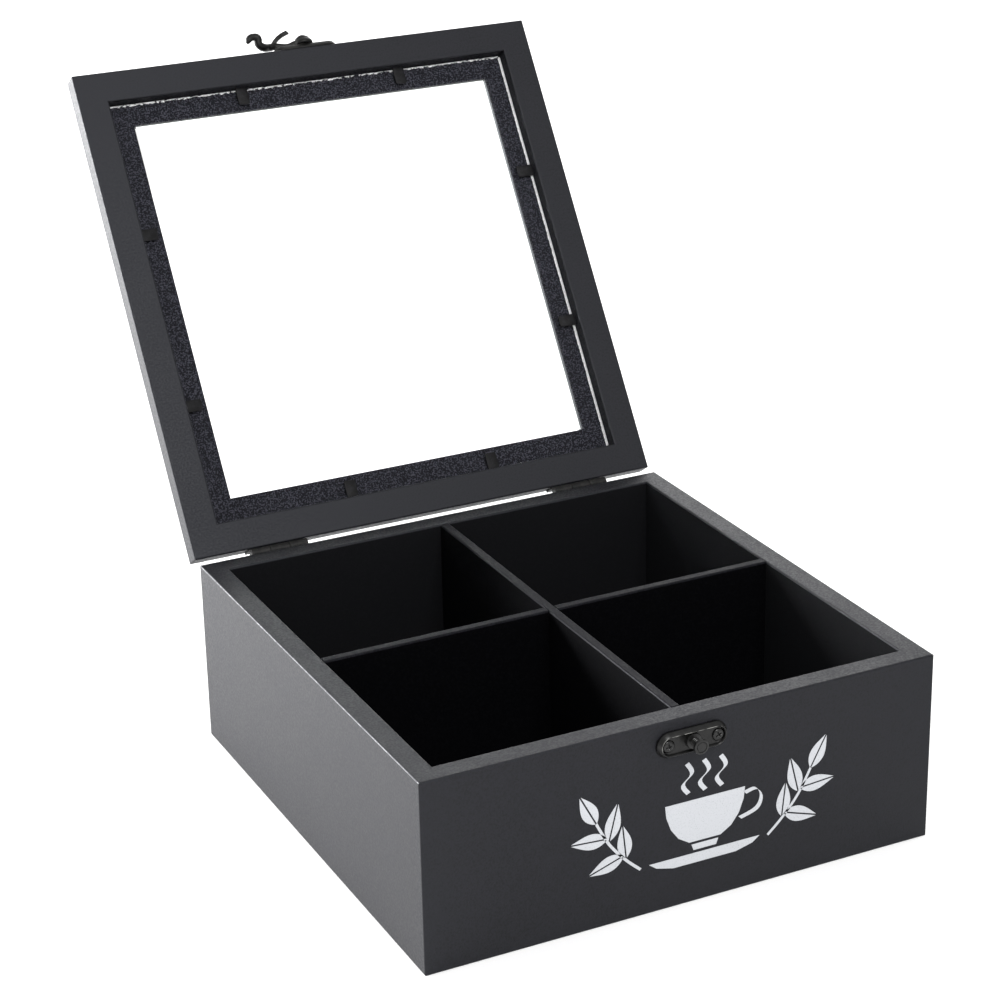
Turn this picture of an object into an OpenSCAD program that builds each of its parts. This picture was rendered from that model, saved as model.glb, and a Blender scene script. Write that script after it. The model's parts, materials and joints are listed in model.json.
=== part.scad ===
// Tea box with four compartments, a glazed lid on two stop hinges, and a swan hook latch.
// Frame: origin at the centre of the underside, +Z up, the front faces -Y and the hinges are at +Y.
// The lid is drawn open, leaning back on its hinge stops, and the latch hook is swung towards -X.

/* [Box] */
// Outside width of the box, left to right
box_w = 240; // [200:1:300]
// Outside depth of the box, front to back
box_d = 240; // [200:1:300]
// Height of the walls
box_h = 87; // [70:1:120]
// Thickness of the wall boards
wall_t = 10.5; // [9:0.5:14]
// Radius on the edges of the boards
edge_r = 0.8; // [0.4:0.1:1.2]
// Thickness of the bottom panel
panel_t = 4; // [3:0.5:6]
// Width of the step in the walls that takes the bottom panel
step_w = 5; // [3:0.5:6]

/* [Dividers] */
// Thickness of the two dividers
divider_t = 4.5; // [4:0.5:7]
// Length of the tongues that reach into the walls
tongue_l = 3; // [2:0.5:4]
// Distance from the rim down to the top of the tongues
tongue_stop = 14; // [8:1:24]
// Play in the joints between boards
wood_gap = 0.1; // [0.05:0.05:0.2]

/* [Lid] */
// Thickness of the lid frame
lid_t = 10; // [9:0.5:14]
// Width of the frame's full-thickness face
face_w = 15; // [12:0.5:24]
// Width of the lip that the glass lies on
lip_w = 11.5; // [6:0.5:16]
// Thickness of the lip
lip_t = 3; // [2:0.5:4]
// Gap between the closed lid and the rim of the box
lid_gap = 0.3; // [0.2:0.1:1]
// Angle to which the hinge stops let the lid open
open_angle = 123.5; // [100:0.5:130]

/* [Glass] */
// Thickness of the glass pane
glass_t = 2; // [2:0.5:3]
// Play between the pane and the frame on each side
glass_play = 0.5; // [0.5:0.25:2.5]
// Chamfer on the pane's ground edges
glass_arris = 0.4; // [0.2:0.1:0.6]

/* [Glazing points] */
// Width of the flat points that hold the glass
point_w = 5.5; // [4:0.5:8]
// Thickness of the points
point_t = 0.5; // [0.4:0.1:0.8]
// Length of a point that lies over the glass
point_show = 8; // [5:0.5:10]
// Length of a point that is driven into the frame
point_drive = 6; // [4:0.5:9]
// Places of the points along the front rail, in X
front_points = [-36.5, 47.5]; // [-80:0.5:80]
// Places of the points along the back rail, in X
back_points = [-34.5, 40.5]; // [-80:0.5:80]
// Places of the points along the left rail, in Y with the lid closed
left_points = [-38.5, 47]; // [-80:0.5:80]
// Places of the points along the right rail, in Y with the lid closed
right_points = [-42, 38]; // [-80:0.5:80]

/* [Hinges] */
// Distance of each hinge's middle from the side of the box
hinge_inset = 40.5; // [30:0.5:70]
// Width of a hinge
hinge_w = 28; // [26:1:36]
// Thickness of the hinge leaves
leaf_t = 1; // [0.8:0.1:1.4]
// Distance from a leaf's screws to its far edge
leaf_margin = 3.4; // [3:0.1:5]
// Radius of the corners of the leaves
leaf_corner_r = 1.5; // [0.5:0.1:2.5]
// Radius of the hinge knuckles
barrel_r = 2.4; // [2.1:0.1:3]
// Radius of the hinge pin
pin_r = 1; // [0.8:0.1:1.2]
// Height of the rim above the hinge pin
pin_drop = 1.2; // [0.8:0.1:2]
// Width of the lid leaf's middle knuckle
mid_knuckle_w = 9.4; // [8:0.1:12]
// Length of the stop tongue below the pin
stop_l = 6; // [4.5:0.5:7]
// Width of the stop tongue
stop_w = 7; // [4:0.5:7.5]
// Distance of the leaf screws from the ends of the hinge
leaf_screw_inset = 5; // [4:0.5:6]

/* [Latch and catch] */
// Sideways place of the latch and the catch, in X
latch_x = 1.5; // [-20:0.5:20]
// Distance from the rim down to the catch's centre
catch_drop = 10.6; // [9:0.1:20]
// Length of the latch plate and of the catch plate
plate_w = 33.5; // [28:0.5:44]
// Height of the latch plate on the lid
latch_plate_h = 9.4; // [8.6:0.2:14]
// Height of the catch plate on the box
catch_plate_h = 11.6; // [8.6:0.2:16]
// Height of a plate's raised rim
plate_t = 2.1; // [1.8:0.1:2.6]
// Thickness of a plate's floor
floor_t = 1.1; // [0.8:0.1:1.4]
// Radius of the rivet that the hook turns on
rivet_r = 1.5; // [1.2:0.1:1.8]
// Radius of the rivet's domed head
rivet_head_r = 3.1; // [2.6:0.1:3.6]
// Height of the rivet's domed head
rivet_head_h = 2.6; // [1.6:0.1:3]

/* [Hook] */
// Radius of the hook's eye
eye_r = 4.5; // [4:0.1:5]
// Thickness of the hook's eye and arm
eye_t = 1.6; // [1.2:0.1:2]
// Width of the hook's arm
arm_w = 3.2; // [2.6:0.1:4]
// Radius of the rod that grips the stud
rod_r = 1.7; // [1.4:0.1:2]
// Radius of the rod of the swan's neck
neck_rod_r = 2; // [1.6:0.1:2.2]
// Bend radius of the swan's neck
neck_bend_r = 4.2; // [3.6:0.1:5]
// Bend radius of the swan's head
head_bend_r = 2.3; // [2:0.1:3]
// Angle through which the swan's neck rises
neck_rise = 80; // [60:1:90]
// Angle through which the swan's head curls over
head_curl = 150; // [110:1:165]
// Length of the finger tab
tab_l = 11; // [8:0.5:12]
// Width of the finger tab
tab_w = 4; // [3:0.5:5]
// Thickness of the finger tab
tab_t = 2; // [1.6:0.1:2.4]
// Slope of the finger tab
tab_slope = 28; // [24:1:45]

/* [Stud] */
// Radius of the stud's neck, which the hook grips
stud_neck_r = 2.1; // [1.8:0.1:2.6]
// Radius of the stud's head
stud_head_r = 3.7; // [3:0.1:4.5]
// Thickness of the stud's head
stud_head_t = 2.4; // [1.6:0.1:3]
// Radius of the stud's collar
stud_collar_r = 3.2; // [2.6:0.1:3.4]

/* [Screws] */
// Radius of the plate screws' heads
plate_head_r = 2.8; // [2:0.1:2.9]
// Height of the plate screws' heads
plate_head_h = 0.9; // [0.6:0.1:1]
// Radius of the plate screws' shanks
plate_shank_r = 1.3; // [1:0.1:1.5]
// Length of the plate screws and of the stud's shank in the wood
plate_screw_l = 8; // [6:0.5:8.5]
// Radius of the hinge screws' heads
leaf_head_r = 2.1; // [1.8:0.1:2.6]
// Height of the hinge screws' heads
leaf_head_h = 0.9; // [0.6:0.1:1.2]
// Radius of the hinge screws' shanks
leaf_shank_r = 1.1; // [0.9:0.1:1.3]
// Length of the hinge screws in the wood
leaf_screw_l = 7; // [5:0.5:8]

/* [Clearances] */
// Running clearance round a pin or rivet that something turns on
turn_play = 0.06; // [0.02:0.01:0.1]
// Clearance round a shank that is pressed or screwed home
seat_play = 0.02; // [0.01:0.01:0.05]
// Gap between metal pieces that move past each other
metal_gap = 0.4; // [0.3:0.05:0.6]
// Gap between the ends of neighbouring hinge knuckles
knuckle_gap = 0.3; // [0.2:0.05:0.5]

/* [Hidden] */
$fn = 48;

black_paint = "#2b2b2e";
inner_paint = "#1d1d20";
pane_tint = "#c9d6d4";
black_metal = "#1a1a1b";
dark_steel = "#3a3a3c";

// Turns of the four sides about +Z, from the front
FRONT = 0;
RIGHT = 90;
BACK = 180;
LEFT = 270;

// How far a cut runs past the surface that it opens
over = 1;
// Steps in an arc of a board's edge or of the stud's head
arc_steps = 4;
// Height of the hook's eye above the underside of its shoulder
eye_rise = 0.3;
// How deep the lid leaf's neck lies inside the knuckle that it joins
neck_sink = 0.2;
// How far a joint of the hook's rods stands out from them
joint_step = 0.1;
// Length of the ring on the swan's neck
ring_l = 1.2;
// Length of the swan's beak
beak_l = 1;
// Angles about the stud where the hook's grip starts and ends
grip_start = 40;
grip_end = 190;

// Places that follow from the sizes above
lid_z = box_h + lid_gap;
pane_z = lid_t - lip_t - glass_t;
rail_w = face_w + lip_w;
pin_behind = barrel_r + metal_gap;
pin_y = box_d / 2 + pin_behind;
hinge_x = box_w / 2 - hinge_inset;
pin_z = box_h - pin_drop;
leaf_screw_z = pin_drop + lid_gap + lid_t / 2;
leaf_h = leaf_screw_z + leaf_margin;
leaf_screw_x = hinge_w / 2 - leaf_screw_inset;
leaf_clear_z = barrel_r + knuckle_gap;
catch_z = box_h - catch_drop;
rivet_z = lid_z + lid_t / 2;
hook_reach = rivet_z - catch_z;
hook_z = plate_t + metal_gap;
eye_z = hook_z + eye_rise;
rod_z = hook_z + rod_r + joint_step;
grip_r = stud_neck_r + metal_gap + rod_r;
shoulder_r = rod_r + 2 * joint_step;
shoulder_reach = stud_neck_r + metal_gap - joint_step + shoulder_r;
shoulder_x = shoulder_reach * cos(grip_start) - hook_reach;
shoulder_y = shoulder_reach * sin(grip_start);
foot_r = neck_rod_r + 2 * joint_step;
foot_reach = stud_neck_r + metal_gap - joint_step + foot_r;
foot_x = foot_reach * cos(grip_end) - hook_reach;
foot_y = foot_reach * sin(grip_end);
lap_z = (panel_t + box_h) / 2;

// Points on an arc about a centre
function arc(centre, r, from, to) = [
    for (i = [0:arc_steps])
        let (a = from + (to - from) * i / arc_steps)
        [centre[0] + r * cos(a), centre[1] + r * sin(a)]
];

// Cross-section of a wall: x runs in from the outer face, y runs up
function wall_profile() = concat(
    arc([edge_r, edge_r], edge_r, 180, 270),
    [[wall_t - step_w, 0], [wall_t - step_w, panel_t], [wall_t, panel_t]],
    arc([wall_t - edge_r, box_h - edge_r], edge_r, 0, 90),
    arc([edge_r, box_h - edge_r], edge_r, 90, 180)
);

// Cross-section of a lid rail: x runs in from the outer face, y runs up from the underside
function rail_profile() = concat(
    arc([edge_r, edge_r], edge_r, 180, 270),
    arc([face_w - edge_r, edge_r], edge_r, 270, 360),
    [[face_w, lid_t - lip_t], [rail_w, lid_t - lip_t]],
    arc([rail_w - edge_r, lid_t - edge_r], edge_r, 0, 90),
    arc([edge_r, lid_t - edge_r], edge_r, 90, 180)
);

// Plan of a board that is mitred at both ends, with its outer corners rounded
function mitre_plan(length, across, depth) = concat(
    arc([edge_r - length / 2, edge_r - across / 2], edge_r, 225, 270),
    arc([length / 2 - edge_r, edge_r - across / 2], edge_r, 270, 315),
    [[length / 2 - depth, depth - across / 2], [depth - length / 2, depth - across / 2]]
);

// A mitred board along the -Y side of a frame, from its cross-section
module mitred_board(profile, length, across, depth, height) {
    intersection() {
        translate([-length / 2, -across / 2, 0])
            rotate([90, 0, 90])
                linear_extrude(length) polygon(profile);
        linear_extrude(height) polygon(mitre_plan(length, across, depth));
    }
}

// Local frames on the faces of the closed box, with z pointing out of the face
module on_front(x, z) {
    translate([x, -box_d / 2, z]) rotate([90, 0, 0]) children();
}

module on_back(x, z) {
    translate([x, box_d / 2, z]) rotate([90, 0, 180]) children();
}

// Turns what is drawn with the lid closed to its open place on the hinge pins
module opened() {
    translate([0, pin_y, pin_z])
        rotate([-open_angle, 0, 0])
            translate([0, -pin_y, -pin_z]) children();
}

// ---- Screws ----

// A low domed head with a flat underside at z = 0
module domed_head(r, h) {
    ball_r = (r * r + h * h) / (2 * h);
    intersection() {
        cylinder(r = r, h = h);
        translate([0, 0, h - ball_r]) sphere(r = ball_r, $fn = 96);
    }
}

// A wood screw with a cross recess, its head on z = 0 and its shank going down
module cross_screw(head_r, head_h, shank_r, length) {
    slot_l = head_r * 1.2;
    slot_w = head_r * 0.26;
    slot_depth = head_h * 0.65;
    tip_l = shank_r * 2;
    difference() {
        domed_head(head_r, head_h);
        for (turn = [45, 135])
            rotate([0, 0, turn])
                translate([-slot_l / 2, -slot_w / 2, head_h - slot_depth])
                    cube([slot_l, slot_w, head_h]);
    }
    translate([0, 0, tip_l - length]) cylinder(r = shank_r, h = length - tip_l + head_h / 4);
    translate([0, 0, -length]) cylinder(r1 = shank_r / 5, r2 = shank_r, h = tip_l);
}

// The hole that a shank leaves in the wood
module shank_hole(shank_r, length) {
    translate([0, 0, -length - over / 2]) cylinder(r = shank_r + seat_play, h = length + over);
}

module plate_screw() {
    translate([0, 0, floor_t])
        cross_screw(plate_head_r, plate_head_h, plate_shank_r, plate_screw_l + floor_t);
}

module leaf_screw() {
    translate([0, 0, leaf_t])
        cross_screw(leaf_head_r, leaf_head_h, leaf_shank_r, leaf_screw_l + leaf_t);
}

module at_plate_screws(plate_h) {
    for (side = [-1, 1])
        translate([side * (plate_w - plate_h) / 2, 0, 0]) children();
}

module at_leaf_screws() {
    for (hinge = [-1, 1], side = [-1, 1])
        translate([hinge * hinge_x + side * leaf_screw_x, 0, 0]) children();
}

// ---- Box ----

// Groove in the middle of a wall for a divider's tongue
module tongue_groove(across) {
    width = divider_t + 2 * wood_gap;
    translate([-width / 2, wall_t - across / 2 - tongue_l - wood_gap, -over])
        cube([width, tongue_l + wood_gap + over, box_h - tongue_stop + wood_gap + over]);
}

// A wall with its groove, turned to its side of the box
module box_wall(side) {
    length = side == FRONT || side == BACK ? box_w : box_d;
    across = side == FRONT || side == BACK ? box_d : box_w;
    color(black_paint)
        rotate([0, 0, side])
            difference() {
                mitred_board(wall_profile(), length, across, wall_t, box_h);
                tongue_groove(across);
            }
}

module front_wall() {
    difference() {
        box_wall(FRONT);
        on_front(latch_x, catch_z) {
            at_plate_screws(catch_plate_h) shank_hole(plate_shank_r, plate_screw_l);
            shank_hole(rivet_r, plate_screw_l);
        }
    }
}

module back_wall() {
    difference() {
        box_wall(BACK);
        on_back(0, pin_z - leaf_screw_z)
            at_leaf_screws() shank_hole(leaf_shank_r, leaf_screw_l);
    }
}

module bottom_panel() {
    inset = wall_t - step_w + wood_gap;
    color(inner_paint)
        translate([inset - box_w / 2, inset - box_d / 2, 0])
            cube([box_w - 2 * inset, box_d - 2 * inset, panel_t]);
}

// A divider that runs along Y, with tongues at its ends and half a lap joint in its middle
module divider(across, lap_from, lap_to) {
    length = across - 2 * wall_t - 2 * wood_gap;
    tongue_top = box_h - tongue_stop;
    lap_w = divider_t + 2 * wood_gap;
    profile = concat(
        [[-divider_t / 2, panel_t], [divider_t / 2, panel_t]],
        arc([divider_t / 2 - edge_r, box_h - edge_r], edge_r, 0, 90),
        arc([edge_r - divider_t / 2, box_h - edge_r], edge_r, 90, 180)
    );
    color(inner_paint)
        difference() {
            union() {
                translate([0, length / 2, 0])
                    rotate([90, 0, 0]) linear_extrude(length) polygon(profile);
                translate([-divider_t / 2, -length / 2 - tongue_l, panel_t])
                    cube([divider_t, length + 2 * tongue_l, tongue_top - panel_t]);
            }
            translate([-divider_t, -lap_w / 2, lap_from])
                cube([2 * divider_t, lap_w, lap_to - lap_from]);
        }
}

module long_divider() {
    divider(box_d, panel_t - over, lap_z + wood_gap);
}

module cross_divider() {
    rotate([0, 0, 90]) divider(box_w, lap_z, box_h + over);
}

// ---- Lid, drawn closed in modules that start with "closed" and opened by the nodes ----

// One glazing point on the front rail of a frame, its tapered end driven into the rail
module glass_point(x, across) {
    reach = face_w - across / 2;
    z = lid_z + pane_z - point_t;
    translate([x, reach, z])
        linear_extrude(point_t)
            polygon([
                [-point_w / 2, point_show], [-point_w / 2, 0], [-point_w / 4, -point_drive],
                [point_w / 4, -point_drive], [point_w / 2, 0], [point_w / 2, point_show]
            ]);
}

// The points on one rail; places are along the rail, seen from outside with the lid closed
module closed_points(side, places) {
    across = side == FRONT || side == BACK ? box_d : box_w;
    rotate([0, 0, side])
        for (x = places) glass_point(x, across);
}

module closed_rail(side, places) {
    length = side == FRONT || side == BACK ? box_w : box_d;
    across = side == FRONT || side == BACK ? box_d : box_w;
    difference() {
        translate([0, 0, lid_z])
            rotate([0, 0, side])
                mitred_board(rail_profile(), length, across, rail_w, lid_t);
        closed_points(side, places);
    }
}

module glass_points(side, places) {
    color(black_metal) opened() closed_points(side, places);
}

module lid_front_rail() {
    color(black_paint)
        opened()
            difference() {
                closed_rail(FRONT, front_points);
                on_front(latch_x, rivet_z)
                    at_plate_screws(latch_plate_h) shank_hole(plate_shank_r, plate_screw_l);
            }
}

module lid_back_rail() {
    color(black_paint)
        opened()
            difference() {
                closed_rail(BACK, -back_points);
                on_back(0, rivet_z) at_leaf_screws() shank_hole(leaf_shank_r, leaf_screw_l);
            }
}

module lid_left_rail() {
    color(black_paint) opened() closed_rail(LEFT, -left_points);
}

module lid_right_rail() {
    color(black_paint) opened() closed_rail(RIGHT, right_points);
}

// Cross-section of the pane with its ground edges
module pane_section(width) {
    polygon([
        [-width / 2, glass_arris], [glass_arris - width / 2, 0],
        [width / 2 - glass_arris, 0], [width / 2, glass_arris],
        [width / 2, glass_t - glass_arris], [width / 2 - glass_arris, glass_t],
        [glass_arris - width / 2, glass_t], [-width / 2, glass_t - glass_arris]
    ]);
}

// The pane has slid down against the hinge side of the frame
module glass_pane() {
    pane_w = box_w - 2 * face_w - 2 * glass_play;
    pane_d = box_d - 2 * face_w - 2 * glass_play;
    slide = glass_play - wood_gap;
    color(pane_tint, 0.4)
        opened()
            translate([0, slide, lid_z + pane_z])
                intersection() {
                    translate([0, pane_d / 2, 0])
                        rotate([90, 0, 0]) linear_extrude(pane_d) pane_section(pane_w);
                    translate([-pane_w / 2, 0, 0])
                        rotate([90, 0, 90]) linear_extrude(pane_w) pane_section(pane_d);
                }
}

// ---- Hinges, drawn about their pin, which lies along X ----

// A knuckle of the barrel, centred on x
module knuckle(x, width, bore_r) {
    translate([x - width / 2, 0, 0])
        rotate([0, 90, 0])
            difference() {
                cylinder(r = barrel_r, h = width);
                translate([0, 0, -over]) cylinder(r = bore_r, h = width + 2 * over);
            }
}

// A leaf's plate from z = 0 up to its rounded far corners, with its holes
module leaf_plate(from_z) {
    difference() {
        translate([0, leaf_t - pin_behind, 0])
            rotate([90, 0, 0])
                linear_extrude(leaf_t)
                    union() {
                        translate([-hinge_w / 2, from_z])
                            square([hinge_w, leaf_h - leaf_corner_r - from_z]);
                        translate([leaf_corner_r - hinge_w / 2, from_z])
                            square([hinge_w - 2 * leaf_corner_r, leaf_h - from_z]);
                        for (side = [-1, 1])
                            translate([side * (hinge_w / 2 - leaf_corner_r), leaf_h - leaf_corner_r])
                                circle(r = leaf_corner_r);
                    }
        for (side = [-1, 1])
            translate([side * leaf_screw_x, over - pin_behind + leaf_t, leaf_screw_z])
                rotate([90, 0, 0])
                    cylinder(r = leaf_shank_r + seat_play, h = leaf_t + 2 * over);
    }
}

module hinge_box_leaf(side) {
    end_w = (hinge_w - mid_knuckle_w) / 2 - knuckle_gap;
    color(black_metal)
        translate([side * hinge_x, pin_y, pin_z])
            union() {
                difference() {
                    mirror([0, 0, 1]) leaf_plate(0);
                    translate([-mid_knuckle_w / 2 - knuckle_gap, -2 * pin_behind, -leaf_clear_z])
                        cube([mid_knuckle_w + 2 * knuckle_gap, 2 * pin_behind, leaf_clear_z + over]);
                    rotate([0, 90, 0])
                        cylinder(r = pin_r + seat_play, h = hinge_w + over, center = true);
                }
                for (end = [-1, 1])
                    knuckle(end * (hinge_w - end_w) / 2, end_w, pin_r + seat_play);
            }
}

// The lid leaf carries the middle knuckle and the tongue that stops the lid
module hinge_lid_leaf(side) {
    stop_y = leaf_t - pin_behind + knuckle_gap;
    color(black_metal)
        difference() {
            union() {
                opened()
                    translate([side * hinge_x, pin_y, pin_z]) {
                        leaf_plate(leaf_clear_z);
                        translate([-mid_knuckle_w / 2, neck_sink - barrel_r, 0])
                            cube([mid_knuckle_w, leaf_t, leaf_clear_z + leaf_t]);
                    }
                translate([side * hinge_x, pin_y, pin_z]) {
                    knuckle(0, mid_knuckle_w, pin_r + turn_play);
                    translate([-stop_w / 2, stop_y, -stop_l]) cube([stop_w, leaf_t, stop_l]);
                }
            }
            translate([side * hinge_x, pin_y, pin_z])
                rotate([0, 90, 0])
                    cylinder(r = pin_r + turn_play, h = hinge_w, center = true);
        }
}

module hinge_pin(side) {
    color(dark_steel)
        translate([side * hinge_x, pin_y, pin_z])
            rotate([0, 90, 0]) cylinder(r = pin_r, h = hinge_w, center = true);
}

module hinge_box_screws() {
    color(black_metal) on_back(0, pin_z - leaf_screw_z) at_leaf_screws() leaf_screw();
}

module hinge_lid_screws() {
    color(black_metal) opened() on_back(0, rivet_z) at_leaf_screws() leaf_screw();
}

// ---- Latch on the lid and catch on the box, drawn with z out of the face ----

// Half cross-section of a plate: a flat floor inside a bevelled rim
function plate_profile(end_r) = [
    [0, 0], [end_r, 0], [end_r, plate_t / 3], [end_r * 0.78, plate_t],
    [end_r * 0.7, plate_t], [end_r * 0.63, floor_t], [0, floor_t]
];

// A long plate with round ends, a raised rim and two screw holes
module rimmed_plate(plate_h) {
    end_r = plate_h / 2;
    straight = plate_w - plate_h;
    difference() {
        union() {
            for (turn = [0, 180])
                rotate([0, 0, turn]) {
                    translate([straight / 2, 0, 0])
                        rotate([90, 0, 0]) rotate([-90, 0, 0])
                            rotate([0, 0, -90]) rotate_extrude(angle = 180) polygon(plate_profile(end_r));
                    translate([-straight / 2, 0, 0])
                        rotate([90, 0, 90]) linear_extrude(straight) polygon(plate_profile(end_r));
                }
        }
        at_plate_screws(plate_h)
            translate([0, 0, -over]) cylinder(r = plate_shank_r + seat_play, h = floor_t + 2 * over);
    }
}

module latch_plate() {
    color(black_metal)
        opened() on_front(latch_x, rivet_z)
            difference() {
                union() {
                    rimmed_plate(latch_plate_h);
                    cylinder(r = rivet_head_r, h = plate_t);
                }
                translate([0, 0, -over]) cylinder(r = rivet_r + seat_play, h = plate_t + 2 * over);
            }
}

module latch_screws() {
    color(black_metal)
        opened() on_front(latch_x, rivet_z) at_plate_screws(latch_plate_h) plate_screw();
}

module latch_rivet() {
    head_z = eye_z + eye_t + knuckle_gap;
    color(dark_steel)
        opened() on_front(latch_x, rivet_z) {
            cylinder(r = rivet_r, h = head_z + rivet_head_h / 4);
            translate([0, 0, head_z]) domed_head(rivet_head_r, rivet_head_h);
        }
}

// A rod bent about z, from one angle through a sweep
module bent_rod(bend_r, r, from, sweep) {
    rotate([0, 0, from]) rotate_extrude(angle = sweep) translate([bend_r, 0]) circle(r = r);
}

// The part of the hook that goes round the stud's neck, from the arm's shoulder to the swan's foot
module hook_grip() {
    joint_h = 2 * (rod_r + joint_step);
    translate([-hook_reach, 0, rod_z]) bent_rod(grip_r, rod_r, grip_start, grip_end - grip_start);
    translate([shoulder_x, shoulder_y, hook_z]) cylinder(r = shoulder_r, h = joint_h);
    translate([foot_x, foot_y, hook_z]) cylinder(r = foot_r, h = joint_h);
    rotate([0, 0, atan2(shoulder_y, shoulder_x)])
        translate([0, -arm_w / 2, eye_z]) cube([norm([shoulder_x, shoulder_y]), arm_w, eye_t]);
}

// The swan's neck and head, which rise from the foot, with a ring where the bend turns over
module hook_swan() {
    end_a = 270 - neck_rise;
    bends = neck_bend_r + head_bend_r;
    beak_r = rod_r + joint_step;
    beak = [
        [0, -2 * joint_step], [beak_r, -2 * joint_step], [beak_r, joint_step],
        [beak_r / 2, beak_l], [0, beak_l]
    ];
    translate([foot_x, foot_y, rod_z + neck_bend_r])
        rotate([90, 0, 0]) {
            bent_rod(neck_bend_r, neck_rod_r, end_a, neck_rise);
            rotate([0, 0, end_a])
                translate([neck_bend_r, 0, 0])
                    rotate([90, 0, 0]) cylinder(r = neck_rod_r + 2 * joint_step, h = ring_l, center = true);
            translate([bends * cos(end_a), bends * sin(end_a), 0]) {
                bent_rod(head_bend_r, rod_r, 90 - neck_rise, head_curl);
                rotate([0, 0, 90 - neck_rise + head_curl])
                    translate([head_bend_r, 0, 0]) rotate([-90, 0, 0]) rotate_extrude() polygon(beak);
            }
        }
}

// The tab that a finger pushes, sloping back over the arm
module hook_tab() {
    translate([grip_r / 2 - hook_reach, grip_r * 0.9, rod_z])
        rotate([0, -tab_slope, 0])
            translate([0, tab_w / 2, 0])
                rotate([90, 0, 0])
                    linear_extrude(tab_w) {
                        translate([0, -tab_t / 2]) square([tab_l, tab_t]);
                        translate([tab_l, 0]) circle(r = tab_t / 2);
                    }
}

module latch_hook() {
    color(black_metal)
        opened() on_front(latch_x, rivet_z)
            difference() {
                union() {
                    translate([0, 0, eye_z]) cylinder(r = eye_r, h = eye_t);
                    hook_grip();
                    hook_swan();
                    hook_tab();
                }
                translate([0, 0, eye_z - over])
                    cylinder(r = rivet_r + turn_play, h = eye_t + 2 * over);
            }
}

module catch_plate() {
    color(black_metal)
        on_front(latch_x, catch_z)
            difference() {
                rimmed_plate(catch_plate_h);
                translate([0, 0, -over]) cylinder(r = rivet_r + seat_play, h = plate_t + 2 * over);
            }
}

module catch_screws() {
    color(black_metal) on_front(latch_x, catch_z) at_plate_screws(catch_plate_h) plate_screw();
}

// The stud: a shank in the wood, a collar on the plate, a neck and a head
module catch_stud() {
    head_z = rod_z + rod_r + metal_gap;
    top_z = head_z + stud_head_t;
    crown_r = stud_head_t / 3;
    profile = concat(
        [
            [0, -plate_screw_l], [rivet_r, -plate_screw_l], [rivet_r, floor_t],
            [stud_collar_r, floor_t], [stud_collar_r, plate_t], [stud_neck_r, plate_t],
            [stud_neck_r, head_z], [stud_head_r, head_z]
        ],
        arc([stud_head_r - crown_r, top_z - crown_r], crown_r, 0, 90),
        [[0, top_z]]
    );
    color(black_metal) on_front(latch_x, catch_z) rotate_extrude() polygon(profile);
}

front_wall();
back_wall();
box_wall(LEFT);  // left_wall
box_wall(RIGHT);  // right_wall
bottom_panel();
long_divider();
cross_divider();
lid_front_rail();
lid_back_rail();
lid_left_rail();
lid_right_rail();
glass_pane();
glass_points(FRONT, front_points);  // front_glass_points
glass_points(BACK, -back_points);  // back_glass_points
glass_points(LEFT, -left_points);  // left_glass_points
glass_points(RIGHT, right_points);  // right_glass_points
hinge_box_leaf(-1);  // left_hinge_box_leaf
hinge_lid_leaf(-1);  // left_hinge_lid_leaf
hinge_pin(-1);  // left_hinge_pin
hinge_box_leaf(1);  // right_hinge_box_leaf
hinge_lid_leaf(1);  // right_hinge_lid_leaf
hinge_pin(1);  // right_hinge_pin
hinge_box_screws();
hinge_lid_screws();
latch_plate();
latch_screws();
latch_rivet();
latch_hook();
catch_plate();
catch_screws();
catch_stud();
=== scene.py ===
"""Tea box with four compartments, a glazed lid and a swan hook latch: its looks, light and camera.

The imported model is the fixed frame. The boards and the hinges keep their CAD shapes and get finishes. The
glass, glazing points, hook, plates, stud, rivet, screws and the painted ornament are modelled here.
"""

import json
import logging
import math
from collections.abc import Callable
from dataclasses import dataclass
from enum import Enum
from functools import partial

import bmesh
import bpy
from mathutils import Matrix, Vector

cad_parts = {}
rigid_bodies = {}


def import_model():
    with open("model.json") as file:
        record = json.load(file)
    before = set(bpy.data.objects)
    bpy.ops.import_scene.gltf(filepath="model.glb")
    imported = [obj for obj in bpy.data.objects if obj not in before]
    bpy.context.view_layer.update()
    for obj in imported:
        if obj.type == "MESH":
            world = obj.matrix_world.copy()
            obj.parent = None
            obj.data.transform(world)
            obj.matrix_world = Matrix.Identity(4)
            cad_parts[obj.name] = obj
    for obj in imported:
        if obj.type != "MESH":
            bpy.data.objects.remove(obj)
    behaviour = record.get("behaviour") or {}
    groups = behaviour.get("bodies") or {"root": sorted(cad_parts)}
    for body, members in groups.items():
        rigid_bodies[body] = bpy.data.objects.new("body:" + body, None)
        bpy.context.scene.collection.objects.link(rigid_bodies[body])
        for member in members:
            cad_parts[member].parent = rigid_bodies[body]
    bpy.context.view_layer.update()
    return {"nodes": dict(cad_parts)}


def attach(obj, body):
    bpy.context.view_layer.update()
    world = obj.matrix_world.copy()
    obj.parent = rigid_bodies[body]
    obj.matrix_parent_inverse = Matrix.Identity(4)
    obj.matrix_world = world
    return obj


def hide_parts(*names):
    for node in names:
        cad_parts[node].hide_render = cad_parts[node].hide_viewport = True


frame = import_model()

MM = 0.001
TO_METRES = Matrix.Scale(MM, 4)
LOG = logging.getLogger("tea_box")

Material = bpy.types.Material
Node = bpy.types.Node
Object = bpy.types.Object
Socket = bpy.types.NodeSocket
Tree = bpy.types.NodeTree
Pair = tuple[float, float]
Triple = tuple[float, float, float]
Rod = tuple[float, float, float, float]
Adder = Callable[..., Node]
SIDES = ("front", "right", "back", "left")


class Body(Enum):
    """Rigid bodies of the model that pieces ride on."""

    BOX = "box"
    LID = "lid"
    HOOK = "hook"


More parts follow.
